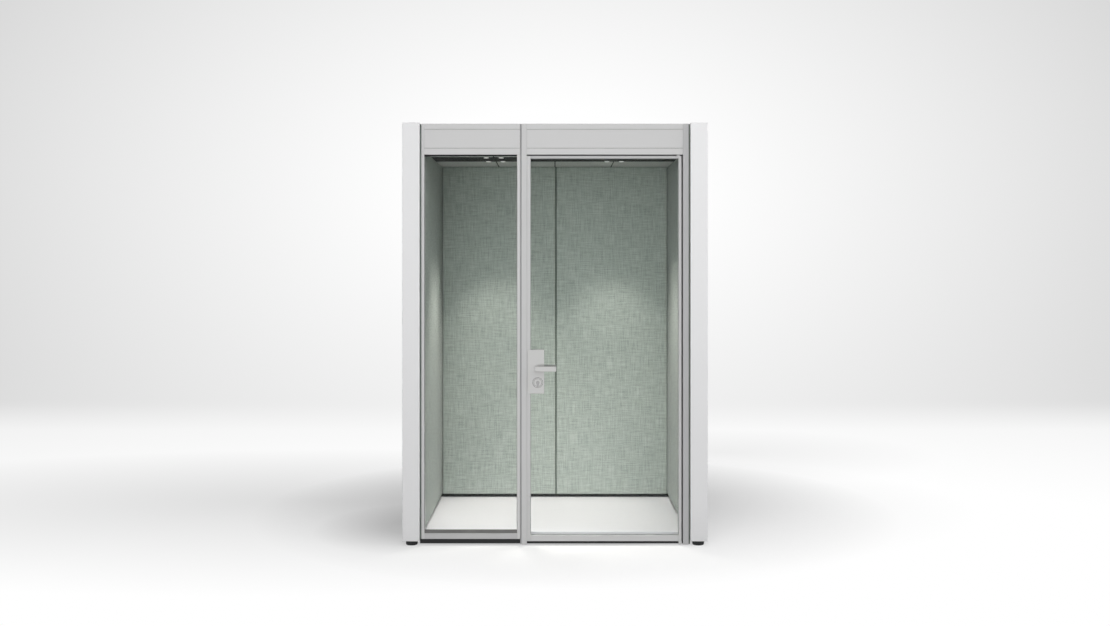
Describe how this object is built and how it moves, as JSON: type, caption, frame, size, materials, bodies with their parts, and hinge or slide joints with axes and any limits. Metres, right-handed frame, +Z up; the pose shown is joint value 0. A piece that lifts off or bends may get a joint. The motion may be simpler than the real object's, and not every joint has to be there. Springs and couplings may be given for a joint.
{
  "type": "acoustic office pod",
  "caption": "Free-standing acoustic pod for one: thick grey side walls on levelling feet, recessed glazed front with a pivot-hung glass door, sage fabric lining, lit and ventilated ceiling.",
  "frame": {"origin": "on the ground, under the middle of the whole object's box (width, and depth from the lever's front to the rear edges of the side walls)", "axes": "+Z up; +X to the right seen from the front; -Y out of the glazed front, towards a person who walks up to the door"},
  "size_m": [1.91, 1.423, 2.65],
  "materials": {
    "wall_lacquer": "light grey matt lacquer on board",
    "dark_felt": "dark fleece-faced absorber",
    "sage_fabric": "sage green linen-look woven fabric over a padded panel",
    "black_board": "black coated board",
    "floor_white": "white satin laminate",
    "black_plastic": "black moulded plastic",
    "ceiling_fabric": "grey-green woven ceiling panel",
    "service_black": "black powder-coated sheet",
    "lamp_housing": "silver downlight heads",
    "silver_aluminium": "silver-grey anodised extrusion",
    "door_aluminium": "silver-grey anodised extrusion",
    "plinth_black": "black powder coat",
    "clear_glass": "clear laminated glass",
    "grey_rubber": "dark grey extruded gasket",
    "satin_steel": "satin stainless steel",
    "foot_black": "black levelling foot"
  },
  "bodies": {
    "enclosure": {"left_wall_shell": "wall_lacquer", "left_wall_core": "dark_felt", "left_lining": "sage_fabric", "right_wall_shell": "wall_lacquer", "right_wall_core": "dark_felt", "right_lining": "sage_fabric", "back_wall_shell": "wall_lacquer", "back_wall_core": "dark_felt", "back_lining_left": "sage_fabric", "back_lining_right": "sage_fabric", "base_deck": "black_board", "floor_panel": "floor_white", "skirting": "black_plastic", "ceiling_front_panel": "ceiling_fabric", "ceiling_rear_panel": "ceiling_fabric", "ceiling_service_strip": "service_black", "roof_panel": "wall_lacquer", "roof_core": "dark_felt", "downlight_front_left": "lamp_housing", "downlight_front_right": "lamp_housing", "downlight_rear_left": "lamp_housing", "downlight_rear_right": "lamp_housing", "supply_fan_housing": "black_plastic", "exhaust_fan_housing": "black_plastic", "lamp_driver": "black_plastic", "mains_inlet": "black_plastic", "left_jamb": "silver_aluminium", "right_jamb": "silver_aluminium", "mullion": "silver_aluminium", "fixed_stile": "silver_aluminium", "header_left": "silver_aluminium", "header_right": "silver_aluminium", "fixed_sill": "silver_aluminium", "fixed_bay_plinth": "plinth_black", "door_threshold": "plinth_black", "fixed_glass": "clear_glass", "fixed_glass_gasket": "grey_rubber", "door_seal": "grey_rubber", "bottom_pivot": "satin_steel", "top_pivot": "satin_steel", "strike_plate": "satin_steel"},
    "door": {"door_frame": "door_aluminium", "door_glass": "clear_glass", "door_glass_gasket": "grey_rubber", "lock_plate_outer": "satin_steel", "lock_plate_inner": "satin_steel", "lock_body": "satin_steel"},
    "lever": {"lever_outer": "satin_steel", "lever_inner": "satin_steel", "latch_follower": "satin_steel"},
    "latch": {"latch_bolt": "satin_steel"},
    "cylinder": {"key_plug": "satin_steel", "thumb_turn": "satin_steel"},
    "bolt": {"dead_bolt": "satin_steel"},
    "supply_rotor": {"supply_fan_rotor": "black_plastic"},
    "exhaust_rotor": {"exhaust_fan_rotor": "black_plastic"},
    "front_left_foot": {"foot_front_left": "foot_black"},
    "front_right_foot": {"foot_front_right": "foot_black"},
    "rear_left_foot": {"foot_rear_left": "foot_black"},
    "rear_right_foot": {"foot_rear_right": "foot_black"}
  },
  "joints": [
    {"name": "door_swing", "type": "hinge", "parent": "enclosure", "child": "door", "pos_m": [0.776, -0.6285, 1.2], "axis": [0, 0, 1], "range_deg": [0, 105]},
    {"name": "lever_turn", "type": "hinge", "parent": "door", "child": "lever", "pos_m": [-0.108, -0.6285, 1.11], "axis": [0, 1, 0], "range_deg": [0, 45], "stiffness_Nm_per_rad": 1, "springref_deg": -34.38},
    {"name": "latch_slide", "type": "slide", "parent": "door", "child": "latch", "axis": [1, 0, 0], "range_m": [0, 0.012]},
    {"name": "key_turn", "type": "hinge", "parent": "door", "child": "cylinder", "pos_m": [-0.108, -0.6285, 1.022], "axis": [0, 1, 0], "range_deg": [0, 90]},
    {"name": "bolt_slide", "type": "slide", "parent": "door", "child": "bolt", "axis": [-1, 0, 0], "range_m": [0, 0.014]},
    {"name": "supply_fan_spin", "type": "hinge", "parent": "enclosure", "child": "supply_rotor", "pos_m": [-0.18, -0.04815, 2.51], "axis": [0, 0, 1], "continuous": true},
    {"name": "exhaust_fan_spin", "type": "hinge", "parent": "enclosure", "child": "exhaust_rotor", "pos_m": [0.18, -0.04815, 2.51], "axis": [0, 0, 1], "continuous": true},
    {"name": "front_left_level", "type": "slide", "parent": "enclosure", "child": "front_left_foot", "axis": [0, 0, -1], "range_m": [0, 0.015]},
    {"name": "front_right_level", "type": "slide", "parent": "enclosure", "child": "front_right_foot", "axis": [0, 0, -1], "range_m": [0, 0.015]},
    {"name": "rear_left_level", "type": "slide", "parent": "enclosure", "child": "rear_left_foot", "axis": [0, 0, -1], "range_m": [0, 0.015]},
    {"name": "rear_right_level", "type": "slide", "parent": "enclosure", "child": "rear_right_foot", "axis": [0, 0, -1], "range_m": [0, 0.015]}
  ],
  "couplings": [
    {"joint": "latch_slide", "follows": "lever_turn", "m_per_rad": 0.01527},
    {"joint": "key_turn", "follows": "bolt_slide", "rad_per_m": 112}
  ]
}
